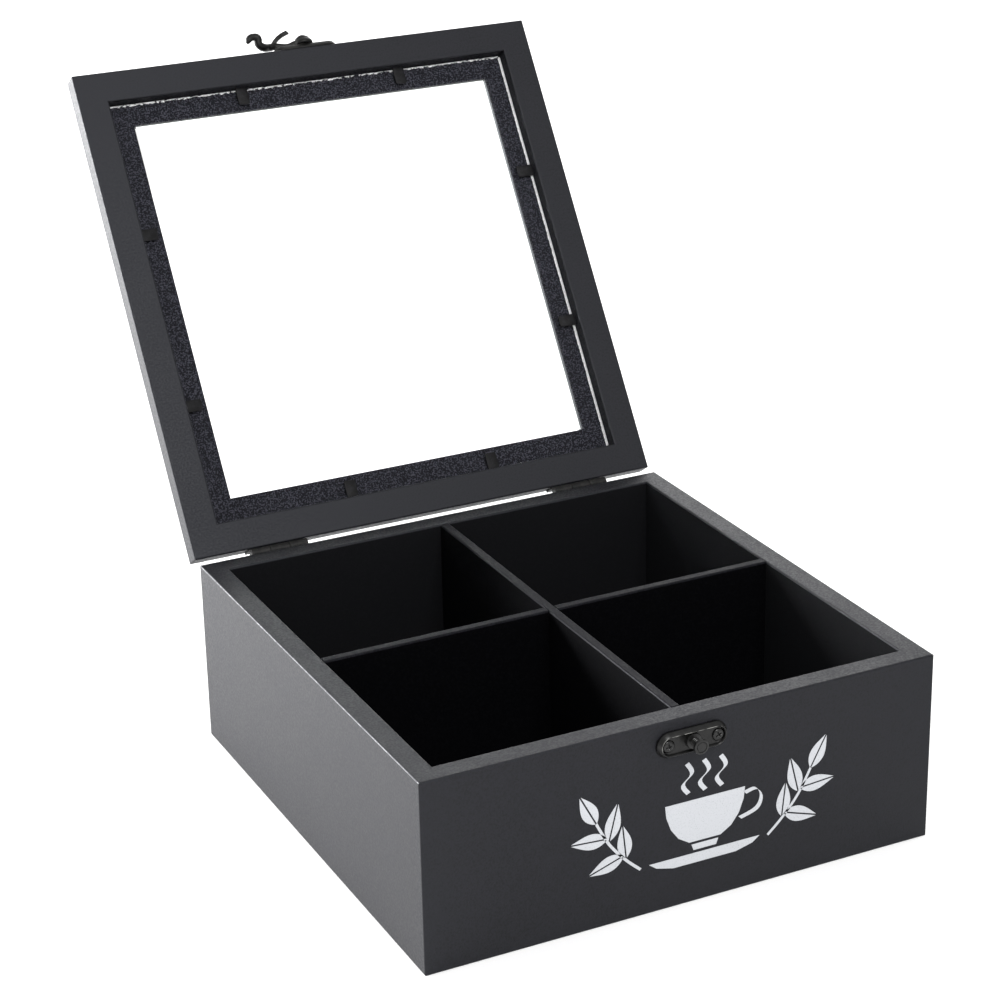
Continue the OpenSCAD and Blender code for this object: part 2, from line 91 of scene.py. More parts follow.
class Slot(Enum):
    """Material slots of the record."""

    PAINT = "black_painted_wood"
    GLASS = "clear_glass"
    METAL = "black_metal"
    STEEL = "dark_steel"


# ---- Places, in millimetres

BOX_WIDTH = 240.0
BOX_DEPTH = 240.0
BOX_HEIGHT = 87.0
WALL = 10.5
LID_FACE = 15.0
PANE_Z = 92.3
PANE_HALF = 104.5
PANE_LOW = -104.1
PANE_HIGH = 104.9
PANE_Z_RANGE = (90.0, 97.0)
LIP_Z = 94.3
LIP_WIDTH = 11.5
OPEN_ANGLE = 123.5
PIN_Y = 122.8
PIN_Z = 85.8
LATCH_X = 1.5
LID_MIDDLE_Z = 92.3
CATCH_Z = 76.4
HINGE_X = 79.5
LEAF_SCREW_X = 9.0
LEAF_SCREW_Z = 79.3


def opening() -> Matrix:
    """The turn that takes the closed lid to the pose that it is drawn in.

    Returns:
        The matrix of the turn, in mm.
    """
    pin = Vector((0.0, PIN_Y, PIN_Z))
    turn = Matrix.Rotation(math.radians(-OPEN_ANGLE), 4, "X")
    return Matrix.Translation(pin) @ turn @ Matrix.Translation(-pin)


def on_face(x: float, z: float, on_lid: bool, at_back: bool = False) -> Matrix:
    """A frame on the front or back face of the closed box, with its z out of the face.

    Args:
        x: Sideways place of the frame, in mm.
        z: Height of the frame with the lid closed, in mm.
        on_lid: Whether the frame opens with the lid.
        at_back: Whether it lies on the back face.

    Returns:
        The matrix from that frame, in mm, to the model's frame, in metres.
    """
    way = -1 if at_back else 1
    face = Matrix(((way, 0, 0, x), (0, 0, -way, -way * BOX_DEPTH / 2), (0, 1, 0, z), (0, 0, 0, 1)))
    return TO_METRES @ (opening() @ face if on_lid else face)


def within(border: float, low: float, high: float) -> tuple[Vector, Vector]:
    """Corners of the space inside a border round the closed box, between two heights, in mm."""
    half = BOX_WIDTH / 2 - border
    return Vector((-half, -half, low)), Vector((half, half, high))


# ---- Meshes by operators


def add_object(name: str, data: bpy.types.ID) -> Object:
    """Makes an object of its data and links it to the scene.

    Args:
        name: Name of the object.
        data: Its mesh, lamp or camera.

    Returns:
        The new object.
    """
    item = bpy.data.objects.new(name, data)
    bpy.context.scene.collection.objects.link(item)
    return item


def pick(pieces: list[Object]) -> None:
    """Selects pieces and nothing else.

    Args:
        pieces: The pieces, of which the first becomes the active one.
    """
    bpy.ops.object.select_all(action="DESELECT")
    for piece in pieces:
        piece.select_set(True)
    bpy.context.view_layer.objects.active = pieces[0]


def begin(add: Callable[..., object], name: str, **settings: object) -> Object:
    """Adds a primitive with nothing else selected, and opens it in edit mode.

    Args:
        add: The operator that adds the primitive.
        name: Name of the new piece.
        **settings: The operator's own settings.

    Returns:
        The new piece, in edit mode, selected all over.
    """
    bpy.ops.object.select_all(action="DESELECT")
    add(**settings)
    piece = bpy.context.object
    piece.name = piece.data.name = name
    bpy.ops.object.transform_apply(location=True, rotation=True, scale=True)
    bpy.ops.object.mode_set(mode="EDIT")
    bpy.ops.mesh.select_mode(type="VERT")
    return piece


def choose(piece: Object, part: str, where: Callable[[Vector, Vector], bool]) -> None:
    """Selects the parts of a mesh in edit mode that pass a test, and nothing else.

    Args:
        piece: The piece that is in edit mode.
        part: "verts" or "faces".
        where: Test on a part's middle and normal.
    """
    bpy.ops.mesh.select_mode(type="VERT" if part == "verts" else "FACE")
    bpy.ops.mesh.select_all(action="DESELECT")
    mesh = bmesh.from_edit_mesh(piece.data)
    for item in getattr(mesh, part):
        middle = item.co if part == "verts" else item.calc_center_median()
        item.select_set(where(middle, item.normal))
    bmesh.update_edit_mesh(piece.data)


def select_mesh() -> None:
    """Selects all of the mesh in edit mode."""
    bpy.ops.mesh.select_all(action="SELECT")


def extrude(value: Triple | Vector) -> None:
    """Extrudes the selected part of the mesh in edit mode and moves the new part."""
    bpy.ops.mesh.extrude_region_move(TRANSFORM_OT_translate={"value": value})


def close_up() -> None:
    """Merges doubles all over a mesh in edit mode, turns its faces out and leaves edit mode."""
    select_mesh()
    bpy.ops.mesh.remove_doubles(threshold=1e-4)
    bpy.ops.mesh.normals_make_consistent(inside=False)
    bpy.ops.object.mode_set(mode="OBJECT")


def thicken(thick: float) -> None:
    """Extrudes a flat mesh in edit mode along z, closes it up and leaves edit mode.

    Args:
        thick: Thickness of the plate, in the mesh's own units.
    """
    select_mesh()
    extrude((0, 0, thick))
    close_up()


def modify(piece: Object, kind: str, **settings: object) -> None:
    """Adds a modifier to a piece and applies it.

    Args:
        piece: The piece, in object mode.
        kind: The modifier's type.
        **settings: The modifier's own settings.
    """
    modifier = piece.modifiers.new(kind.lower(), kind)
    for key, value in settings.items():
        setattr(modifier, key, value)
    bpy.context.view_layer.objects.active = piece
    bpy.ops.object.modifier_apply(modifier=modifier.name)


def cut(piece: Object, tool: Object) -> None:
    """Cuts a tool's shape out of a piece, and throws the tool away.

    Args:
        piece: The piece, in object mode.
        tool: The closed shape to take away.
    """
    modify(piece, "BOOLEAN", operation="DIFFERENCE", solver="EXACT", object=tool)
    bpy.data.objects.remove(tool)


def soften(piece: Object, width: float, segments: int = 2) -> None:
    """Rounds the sharp edges of a piece.

    Args:
        piece: The piece, in object mode.
        width: Width of the rounding, in the piece's own units.
        segments: Steps across the rounding.
    """
    modify(piece, "BEVEL", width=width, segments=segments, limit_method="ANGLE",
           angle_limit=math.radians(28), harden_normals=False)


def join(pieces: list[Object], name: str) -> Object:
    """Joins pieces into one object.

    Args:
        pieces: The pieces, of which the first takes in the rest.
        name: Name of the joined piece.

    Returns:
        The joined piece.
    """
    pick(pieces)
    if len(pieces) > 1:
        bpy.ops.object.join()
    pieces[0].name = pieces[0].data.name = name
    return pieces[0]


def copies(model: Object, places: list[Matrix], name: str) -> Object:
    """Copies a piece to several places, each with its own mesh, and joins the copies.

    Args:
        model: The piece, in object mode, which is used up.
        places: Matrices to put before its mesh.
        name: Name of the joined piece.

    Returns:
        The joined piece.
    """
    made = []
    for place in places:
        made.append(add_object(name, model.data.copy()))
        made[-1].data.transform(place)
    bpy.data.objects.remove(model)
    return join(made, name)


def mount(
    piece: Object,
    place: Matrix,
    material: Material,
    body: Body,
    slot: Slot,
    *nodes: str,
    smooth_angle: float = 35.0,
) -> None:
    """Finishes a piece and puts it on its body and in the place of CAD nodes.

    Args:
        piece: The piece, in object mode, drawn in a local frame.
        place: Matrix from that frame to the model's frame.
        material: The piece's only material.
        body: The body that carries it.
        slot: The record's slot of its finish; not used.
        *nodes: The CAD nodes that it replaces.
        smooth_angle: Edges that turn by less than this look round, in degrees.
    """
    piece.data.transform(place)
    piece.data.materials.clear()
    piece.data.materials.append(material)
    pick([piece])
    bpy.ops.object.shade_smooth_by_angle(angle=math.radians(smooth_angle))
    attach(piece, body.value)
    if nodes:
        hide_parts(*nodes)


def rounded_path(points: list[Rod], steps: int) -> list[Vector]:
    """Draws a smooth curve through places along a rod.

    Args:
        points: Places as x, y, z and radius.
        steps: Steps between two places.

    Returns:
        Places along the curve, as four-component vectors.
    """
    knots = [Vector(points[0])] + [Vector(p) for p in points] + [Vector(points[-1])]
    path = []
    for a, b, c, d in zip(knots, knots[1:], knots[2:], knots[3:]):
        for step in range(steps):
            t = step / steps
            path.append(0.5 * (2 * b + (c - a) * t + (2 * a - 5 * b + 4 * c - d) * t * t
                               + (3 * b - 3 * c + d - a) * t ** 3))
    return path + [knots[-1]]


def chain(name: str, places: list[Vector]) -> Object:
    """Extrudes a vertex from place to place.

    Args:
        name: Name of the piece.
        places: The places, in order.

    Returns:
        The chain of edges, in edit mode.
    """
    piece = begin(bpy.ops.mesh.primitive_plane_add, name, size=1.0, location=places[0])
    bpy.ops.mesh.merge(type="CENTER")
    for near, far in zip(places, places[1:]):
        bpy.ops.mesh.extrude_vertices_move(TRANSFORM_OT_translate={"value": far - near})
    return piece


def rod(name: str, path: list[Vector]) -> Object:
    """Gives a path a round section.

    Args:
        name: Name of the rod.
        path: Places and radii along the rod.

    Returns:
        The rod as a closed mesh, in object mode.
    """
    chain(name, [place.xyz for place in path])
    bpy.ops.object.mode_set(mode="OBJECT")
    bpy.ops.object.convert(target="CURVE")
    curve = bpy.context.object.data
    curve.bevel_depth, curve.bevel_resolution, curve.use_fill_caps = 1.0, 6, True
    for point in curve.splines[0].points:
        point.radius = min(path, key=lambda place: (place.xyz - point.co.xyz).length).w
    bpy.ops.object.convert(target="MESH")
    piece = bpy.context.object
    bpy.ops.object.mode_set(mode="EDIT")
    close_up()
    return piece


def lathe(name: str, profile: list[Pair], steps: int) -> Object:
    """Turns a profile about the z axis.

    Args:
        name: Name of the piece.
        profile: Radius and height of each place.
        steps: Steps in a full turn.

    Returns:
        The closed, turned piece, in object mode.
    """
    piece = chain(name, [Vector((radius, 0.0, height)) for radius, height in profile])
    select_mesh()
    bpy.ops.mesh.spin(steps=steps, angle=2 * math.pi, center=(0, 0, 0), axis=(0, 0, 1))
    close_up()
    return piece


def sheet(name: str, outline: list[Pair], thick: float) -> Object:
    """Draws an outline, fills it and gives it a thickness.

    Args:
        name: Name of the piece.
        outline: Corners as x and y, in order.
        thick: Thickness along z, about z = 0.

    Returns:
        The closed plate, in object mode.
    """
    piece = chain(name, [Vector((x, y, -thick / 2)) for x, y in outline])
    select_mesh()
    bpy.ops.mesh.edge_face_add()
    thicken(thick)
    return piece


# ---- Finishes


def linear(code: str) -> tuple[float, float, float, float]:
    """Turns an sRGB hex colour to linear light.

    Args:
        code: Colour as "#rrggbb".

    Returns:
        The linear colour with full alpha.
    """
    parts = [int(code[i:i + 2], 16) / 255 for i in (1, 3, 5)]
    lit = [c / 12.92 if c <= 0.04045 else ((c + 0.055) / 1.055) ** 2.4 for c in parts]
    return (*lit, 1.0)


def per_mm(size: float) -> float:
    """Pattern scale, in repeats a metre, of a feature that is so many millimetres wide."""
    return 1.0 / (size * MM)


def wire(node: Node, inputs: dict[str | int, object]) -> None:
    """Sets a node's properties and inputs, and links the inputs that other nodes feed.

    Args:
        node: The node.
        inputs: Values by the node's property, or by an input's name or number. An input that is given
            a socket is linked to it, and one that is given a node is linked to its live output.
    """
    for key, value in inputs.items():
        if isinstance(value, Node):
            value = next(socket for socket in value.outputs if socket.enabled)
        if isinstance(value, Socket):
            node.id_data.links.new(value, node.inputs[key])
        elif isinstance(key, str) and hasattr(node, key):
            setattr(node, key, value)
        else:
            node.inputs[key].default_value = value


def add_node(tree: Tree, kind: str, inputs: dict[str | int, object] | None = None) -> Node:
    """Adds a shader node with its settings and links.

    Args:
        tree: Tree of the material or the world.
        kind: Node type, without the "ShaderNode" before it.
        inputs: Its settings and what feeds it, as wire takes them.

    Returns:
        The new node.
    """
    node = tree.nodes.new("ShaderNode" + kind)
    wire(node, inputs or {})
    return node


def region(add: Adder, point: Node | Socket, low: Vector, high: Vector) -> Node:
    """A mask that is 1 inside a box and 0 outside it.

    Args:
        add: The function that adds a node to the material.
        point: Coordinates of the piece.
        low: Lowest corner of the box, in mm.
        high: Highest corner of the box, in mm.

    Returns:
        The node that gives the mask.
    """
    off = add("VectorMath", {"operation": "SUBTRACT", 0: point, 1: (low + high) / 2 * MM})
    size = add("VectorMath", {"operation": "ABSOLUTE", 0: off})
    room = add("VectorMath", {"operation": "SUBTRACT", 0: (high - low) / 2 * MM, 1: size})
    x, y, z = add("SeparateXYZ", {"Vector": room}).outputs
    least = add("Math", {"operation": "MINIMUM", 0: x, 1: y})
    least = add("Math", {"operation": "MINIMUM", 0: least, 1: z})
    return add("Math", {"operation": "GREATER_THAN", 0: least, 1: 0.0})


@dataclass(frozen=True)
class Finish:
    """A surface finish, which makes its material.

    Attributes:
        name: What the surface is and how it was made.
        on_lid: Whether its pieces are drawn opened with the lid.
    """

    name: str
    on_lid: bool = False

    def start(self) -> tuple[Material, Adder, Node, Socket]:
        """Makes an empty material.

        Returns:
            The material, the function that adds a node to it, its principled shader, and the piece's
            coordinates with the lid closed.
        """
        material = bpy.data.materials.new(self.name)
        material.use_nodes = True
        material.node_tree.nodes.clear()
        add = partial(add_node, material.node_tree)
        shader = add("BsdfPrincipled")
        add("OutputMaterial", {"Surface": shader})
        point = add("TexCoord").outputs["Object"]
        if self.on_lid:
            back = opening().inverted()
            point = add("Mapping", {"Location": back.translation * MM, "Rotation": back.to_euler(),
                                    "Vector": point}).outputs["Vector"]
        return material, add, shader, point

    def material(self) -> Material:
        """Makes the material, in each finish's own way."""
        raise NotImplementedError


@dataclass(frozen=True)
class SatinPaint(Finish):
    """Satin acrylic paint rolled on fibreboard: a soft grey sheen over a fine orange peel.

    Attributes:
        dark: Colour of the paint in its hollows.
        light: Colour of the paint on its crests.
        matt: Colour inside the border: near-black painted shade in the compartments by default,
        and on the lid the thin matt coat under the glass.
        speck: Colour of the lint and dust that show in the matt coat.
        sheen: Colour of the paint's reflections, a little cold.
        gloss: Level of the paint's reflections, where 0.5 is a full gloss.
        roughness: Least and most roughness of the rolled paint.
        matt_roughness: Roughness of the matt coat.
        peel: Width of the roller's orange peel, in mm.
        cloud: Width of the board's cloudiness, in mm.
        cloudiness: Share of the cloudiness in the paint's tone.
        grit: Width of the lint's specks, in mm, coarser than the real 0.3 so that they show.
        relief: Depth of the peel and the grit, in mm.
        speckle: How much of the speck colour shows, from 0 to 1.
        border: Width of the rolled border round the region of the matt coat and the painted shade, in mm.
        matt_and_shade_z: Lowest and highest place of that region with the lid closed, in mm.
    """

    dark: str = "#08080a"
    light: str = "#19191d"
    matt: str = "#010102"
    speck: str = "#070709"
    sheen: str = "#f3f6ff"
    gloss: float = 0.25
    roughness: Pair = (0.38, 0.64)
    matt_roughness: float = 0.95
    peel: float = 0.9
    cloud: float = 28.0
    cloudiness: float = 0.15
    grit: float = 0.9
    relief: float = 0.045
    speckle: float = 0.5
    border: float = WALL - 0.05
    matt_and_shade_z: Pair = (-1.0, BOX_HEIGHT - 0.9)

    def material(self) -> Material:
        """Makes the paint.

        Returns:
            The material.
        """
        material, add, shader, point = self.start()
        # The orange peel that a foam roller leaves, over the board's slow cloudiness
        peel = add("TexNoise", {"Scale": per_mm(self.peel), "Detail": 3.0, "Vector": point})
        cloud = add("TexNoise", {"Scale": per_mm(self.cloud), "Detail": 2.0, "Vector": point})
        mixed = add("Math", {"operation": "MULTIPLY_ADD", 0: cloud, 1: self.cloudiness, 2: peel})
        tone = add("MapRange", {"Value": mixed, "From Min": 0.4, "From Max": 0.75})
        colour = add("Mix", {"data_type": "RGBA", 0: tone, 6: linear(self.dark), 7: linear(self.light)})
        rough = add("MapRange", {"Value": tone, "To Min": self.roughness[0], "To Max": self.roughness[1]})
        # Lint and dust, which the matt coat shows as light specks
        grit = add("TexNoise", {"Scale": per_mm(self.grit), "Detail": 1.0, "Vector": point})
        lint = add("MapRange", {"Value": grit, "From Min": 0.46, "From Max": 0.68, "To Max": self.speckle})
        coat = add("Mix", {"data_type": "RGBA", 0: lint, 6: linear(self.matt), 7: linear(self.speck)})
        # Painted shade: inside the border the colour is near-black in the compartments by default; on the lid
        # it is the thin matt coat under the glass
        inside = region(add, point, *within(self.border, *self.matt_and_shade_z))
        base = add("Mix", {"data_type": "RGBA", 0: inside, 6: colour, 7: coat})
        dull = add("Mix", {0: inside, 2: rough, 3: self.matt_roughness})
        height = add("Math", {"operation": "MULTIPLY_ADD", 0: grit, 1: 0.5, 2: peel})
        bump = add("Bump", {"Strength": 0.6, "Distance": self.relief * MM, "Height": height})
        wire(shader, {"Base Color": base, "Roughness": dull, "Normal": bump, "IOR": 1.5,
                      "Specular IOR Level": self.gloss, "Specular Tint": linear(self.sheen)})
        return material


@dataclass(frozen=True)
class FloatGlass(Finish):
    """Clear float glass with ground edges: almost unseen, with a chipped white line round it.

    Attributes:
        tint: Colour of the clear glass.
        ground: Colour of the ground edge.
        frosting: Roughness of the ground edge.
        passing: Share of the light that passes the ground edge.
        rim: Width of the ground line at the sides and at the ends, in mm.
        chip: Length of the chips along the line, in mm.
        wander: How far the chips move the line sideways and lengthways, in mm.
        smear: Width of the faint smears on the glass, in mm.
        haze: Roughness of the smears.
    """

    on_lid: bool = True
    tint: str = "#f8fcfa"
    ground: str = "#ffffff"
    frosting: float = 0.55
    passing: float = 0.3
    rim: Pair = (0.42, 0.15)
    chip: float = 1.4
    wander: Pair = (0.8, 2.4)
    smear: float = 22.0
    haze: float = 0.012

    def material(self) -> Material:
        """Makes the glass.

        Returns:
            The material.
        """
        material, add, shader, point = self.start()
        # The wheel leaves a frosted band with chips, so the line breaks up along its length
        chips = add("TexNoise", {"Scale": per_mm(self.chip), "Detail": 4.0, "Vector": point}).outputs["Color"]
        wander = Vector((*self.wander, 0.0)) * MM
        drift = add("VectorMath", {"operation": "MULTIPLY_ADD", 0: chips, 1: wander, 2: point})
        moved = add("VectorMath", {"operation": "SUBTRACT", 0: drift, 1: wander / 2})
        rim, low, high = Vector((*self.rim, 0.0)), *PANE_Z_RANGE
        clear = region(add, moved, Vector((-PANE_HALF, PANE_LOW, low)) + rim,
                       Vector((PANE_HALF, PANE_HIGH, high)) - rim)
        smear = add("TexNoise", {"Scale": per_mm(self.smear), "Detail": 4.0, "Vector": point})
        faint = add("MapRange", {"Value": smear, "From Min": 0.45, "From Max": 0.8, "To Max": self.haze})
        frost = add("Mix", {0: clear, 2: self.frosting, 3: faint})
        colour = add("Mix", {"data_type": "RGBA", 0: clear, 6: linear(self.ground), 7: linear(self.tint)})
        through = add("Mix", {0: clear, 2: self.passing, 3: 1.0})
        # Where the pane lies tight on the lip it gives no reflection of its own, and only the lip shows
        window = region(add, point, *within(LID_FACE + LIP_WIDTH, low, high))
        tight = add("Math", {"operation": "SUBTRACT", 0: clear, 1: window})
        seen = add("Math", {"operation": "SUBTRACT", 0: 1.0, 1: tight})
        wire(shader, {"Base Color": colour, "Roughness": frost, "Transmission Weight": through,
                      "Alpha": seen, "IOR": 1.4})
        return material


@dataclass(frozen=True)
class CoatedMetal(Finish):
    """Metal under a thin black coat: a soft dark gloss with fine grain, a painted highlight where it stands
    proud.

    Attributes:
        dark: Colour of the coat.
        light: Colour of the coat where it is thin.
        highlight_colour: Colour of the painted highlight, a bare metal.
        roughness: Least and most roughness of the coat.
        gloss: Level of the coat's reflections, where 0.5 is a full gloss.
        grain: Width of the coat's grain, in mm, coarser than the real 0.1 so that it shows.
        patch: Width of the patches in which the coat is thin and the painted highlight breaks, in mm.
        depth: Depth of the grain, in mm.
        crest: Distance of the crest that carries the painted highlight from the middle of the closed box
        towards the front, in mm. The default is out of reach, so no highlight is painted.
        highlight_depth: Depth below the crest that the painted highlight reaches, in mm.
        highlight_above: Height above which the crest carries the painted highlight, in mm, at the middle of
            the
        closed box. The default is far below it, so the highlight runs all along the crest.
        onset: Height over which the painted highlight sets in, in mm.
        tilt: How much lower the painted highlight reaches on the left, as a slope.
    """

    dark: str = "#060606"
    light: str = "#171716"
    highlight_colour: str = "#c4c3be"
    roughness: Pair = (0.38, 0.55)
    gloss: float = 0.2
    grain: float = 0.45
    patch: float = 2.6
    depth: float = 0.04
    crest: float = 999.0
    highlight_depth: float = 0.14
    highlight_above: float = -999.0
    onset: float = 1.5
    tilt: float = 0.2

    def material(self) -> Material:
        """Makes the coated metal.

        Returns:
            The material.
        """
        material, add, shader, point = self.start()
        grain = add("TexNoise", {"Scale": per_mm(self.grain), "Detail": 3.0, "Vector": point})
        patch = add("TexNoise", {"Scale": per_mm(self.patch), "Detail": 2.0, "Vector": point})
        tone = add("Math", {"operation": "MULTIPLY", 0: grain, 1: patch})
        thin = add("MapRange", {"Value": tone, "From Min": 0.18, "From Max": 0.42})
        coat = add("Mix", {"data_type": "RGBA", 0: thin, 6: linear(self.dark), 7: linear(self.light)})
        # Painted highlight: bright bare metal in uneven patches along the crest, mostly along its upper side
        # and lower on the left, where the light falls
        front = -self.crest * MM
        proud = add("MapRange", {"Value": add("SeparateXYZ", {"Vector": point}).outputs["Y"],
                                 "From Min": front + self.highlight_depth * MM, "From Max": front})
        rise = add("VectorMath", {"operation": "DOT_PRODUCT", 0: point, 1: (-self.tilt, 0.0, 1.0)})
        lit_side = add("MapRange", {"Value": rise, "From Min": self.highlight_above * MM,
                                  "From Max": (self.highlight_above + self.onset) * MM})
        reach = add("Math", {"operation": "MULTIPLY", 0: proud, 1: lit_side})
        patchy = add("MapRange", {"Value": patch, "From Min": 0.35, "From Max": 0.6})
        painted_highlight = add("Math", {"operation": "MULTIPLY", 0: reach, 1: patchy})
        colour = add("Mix", {"data_type": "RGBA", 0: painted_highlight, 6: coat, 7: linear(self.highlight_colour)})
        rough = add("MapRange", {"Value": grain, "To Min": self.roughness[0], "To Max": self.roughness[1]})
        bump = add("Bump", {"Strength": 0.5, "Distance": self.depth * MM, "Height": grain})
        wire(shader, {"Base Color": colour, "Roughness": rough, "Metallic": painted_highlight, "Normal": bump,
                      "Specular IOR Level": self.gloss})
        return material


@dataclass(frozen=True)
class StencilPaint(Finish):
    """Silver-grey acrylic dabbed through a stencil: light, nearly matt, with a fine sponge grain.

    Attributes:
        light: Colour of the paint.
        thin: Colour where the black below shows through.
        dab: Width of the sponge's pores, in mm, coarser than the real 0.3 so that they show.
        relief: Depth of the pores, in mm.
    """

    light: str = "#b4b6ba"
    thin: str = "#8f9296"
    dab: float = 0.5
    relief: float = 0.02

    def material(self) -> Material:
        """Makes the stencil paint.

        Returns:
            The material.
        """
        material, add, shader, point = self.start()
        pores = add("TexNoise", {"Scale": per_mm(self.dab), "Detail": 3.0, "Vector": point})
        fade = add("MapRange", {"Value": pores, "From Min": 0.56, "From Max": 0.76})
        colour = add("Mix", {"data_type": "RGBA", 0: fade, 6: linear(self.light), 7: linear(self.thin)})
        bump = add("Bump", {"Strength": 0.3, "Distance": self.relief * MM, "Height": pores})
        wire(shader, {"Base Color": colour, "Normal": bump, "Roughness": 0.55})
        return material


# A soft grey sheen on the outside and the rims, and from the inner faces inwards near-black painted shade
# with a matt roughness
BOARD_PAINT = SatinPaint("satin acrylic paint rolled on fibreboard")
# The same sheen on the frame, and light specks in the thin coat on the lip
LID_PAINT = SatinPaint("satin acrylic paint rolled on the lid frame", on_lid=True, matt="#0d0d11",
                       speck="#3b3b43", speckle=1.0, grit=0.75, border=LID_FACE + 0.05,
                       matt_and_shade_z=(LIP_Z - 0.1, LIP_Z + 0.5))
# Almost no reflection, and near-black painted shade all over, so the compartments look deep
INNER_PAINT = SatinPaint("matt acrylic paint sprayed on plywood", gloss=0.06)
PANE_GLASS = FloatGlass("float glass with ground edges")
# Soft, broad highlights
CAST_METAL = CoatedMetal("zinc alloy cast and lacquered black")
# Blacker, with small hard highlights
SCREW_STEEL = CoatedMetal("steel screws blackened in oil", dark="#030303", light="#191918",
                          roughness=(0.24, 0.38), gloss=0.4)
# Black, with a thin painted highlight along the upper and left part of the rim's crest
PLATE_METAL = CoatedMetal("zinc alloy cast and lacquered black, worn on its crest", dark="#030303",
                          light="#131312", roughness=(0.24, 0.4), gloss=0.32, crest=BOX_DEPTH / 2 + 2.9,
                          highlight_above=CATCH_Z + 0.5)
# A thin painted highlight all along the crest of the lid plate's rim
LID_PLATE_METAL = CoatedMetal("zinc alloy cast and lacquered black, worn on the lid's plate", on_lid=True,
                              crest=BOX_DEPTH / 2 + 2.35)
# Greyer and duller than the cast pieces
HINGE_METAL = CoatedMetal("steel stamped and dipped in black lacquer", light="#222120", roughness=(0.45, 0.6))
PIN_STEEL = CoatedMetal("steel wire blackened in oil", light="#34322f", roughness=(0.32, 0.45), gloss=0.35)
# As dull and as dark as the frame's paint, so the points hardly show
POINT_STEEL = CoatedMetal("spring steel painted over with the frame", on_lid=True, dark="#050506",
                          light="#18181b", roughness=(0.5, 0.65), gloss=0.15)
STENCIL = StencilPaint("acrylic paint dabbed through a stencil")


def dress(finish: Finish, *names: str) -> None:
    """Gives CAD nodes a finish.

    Args:
        finish: The finish that they share.
        *names: Names of the nodes.
    """
    material = finish.material()
    for name in names:
        mesh = frame["nodes"][name].data
        mesh.materials.clear()
        mesh.materials.append(material)


# ---- Box and lid


@dataclass
class Carcase:
    """The box's walls, floor and dividers, which keep their CAD shapes."""

    walls: tuple[str, ...] = tuple(side + "_wall" for side in SIDES)
    inner: tuple[str, ...] = ("bottom_panel", "long_divider", "cross_divider")

    def build(self) -> None:
        """Dresses the boards."""
        dress(BOARD_PAINT, *self.walls)
        dress(INNER_PAINT, *self.inner)


@dataclass
class GlazingPoints:
    """Flat steel points that hold the glass, two on each rail, lengths in mm.

    Attributes:
        width: Width of a point.
        thick: Its thickness.
        gap: Space between a point and the glass.
        show: Length of a point over the glass.
        drive: Its length in the rail.
        places: Places of the points along each rail, in the order of the sides.
    """

    width: float = 5.9
    thick: float = 0.48
    gap: float = 0.01
    show: float = 8.7
    drive: float = 5.9
    places: tuple[Pair, ...] = ((-36.5, 47.5), (-42.0, 38.0), (34.5, -40.5), (38.5, -47.0))

    def point(self) -> Object:
        """One point, lying along +y from the rail's inner face.

        Returns:
            The point, in object mode.
        """
        half, round_off, tip = self.width / 2, self.width * 0.12, self.show
        outline = [(-half / 2, -self.drive), (half / 2, -self.drive), (half, 0.0),
                   (half * 0.95, tip - round_off), (half * 0.82, tip - round_off * 0.3), (half * 0.6, tip),
                   (-half * 0.65, tip - 0.1), (-half * 0.84, tip - round_off * 0.35),
                   (-half * 0.97, tip - round_off), (-half, 0.0)]
        piece = sheet("point", outline, self.thick)
        soften(piece, 0.12)
        return piece

    def build(self) -> None:
        """Models the points of each rail."""
        material = POINT_STEEL.material()
        height = PANE_Z - self.thick / 2 - self.gap
        for quarter, (side, places) in enumerate(zip(SIDES, self.places)):
            spots = [Matrix.Translation((x, LID_FACE - BOX_DEPTH / 2, height)) for x in places]
            pair = copies(self.point(), spots, side + "_glazing_points")
            place = TO_METRES @ opening() @ Matrix.Rotation(quarter * math.pi / 2, 4, "Z")
            mount(pair, place, material, Body.LID, Slot.METAL, side + "_glass_points")


@dataclass
class Pane:
    """The lid's glass, which lies a hair below the lip. Lengths are in mm with the lid closed.

    Attributes:
        thick: Thickness of the glass.
        nip: Length that is nipped off a corner.
        arris: Width that is ground off an edge.
    """

    thick: float = 1.95
    nip: float = 0.9
    arris: float = 0.3

    def build(self) -> None:
        """Models the glass and lays it in the lid."""
        middle = (0, (PANE_LOW + PANE_HIGH) / 2, PANE_Z)
        pane = begin(bpy.ops.mesh.primitive_plane_add, "glass_sheet", size=1.0, location=middle)
        bpy.ops.transform.resize(value=(PANE_HALF * 2, PANE_HIGH - PANE_LOW, 1.0), center_override=middle)
        bpy.ops.mesh.bevel(offset=self.nip, affect="VERTICES")
        thicken(self.thick)
        soften(pane, self.arris, 1)
        mount(pane, TO_METRES @ opening(), PANE_GLASS.material(), Body.LID, Slot.GLASS, "glass_pane",
              smooth_angle=20.0)


@dataclass
class Lid:
    """The lid's frame, which keeps its CAD shape, its glass, and the points that hold the glass."""

    rails: tuple[str, ...] = tuple(f"lid_{side}_rail" for side in SIDES)

    def build(self) -> None:
        """Dresses the lid and models its points."""
        dress(LID_PAINT, *self.rails)
        Pane().build()
        GlazingPoints().build()


# ---- Screws, hinges, latch and catch, in millimetres


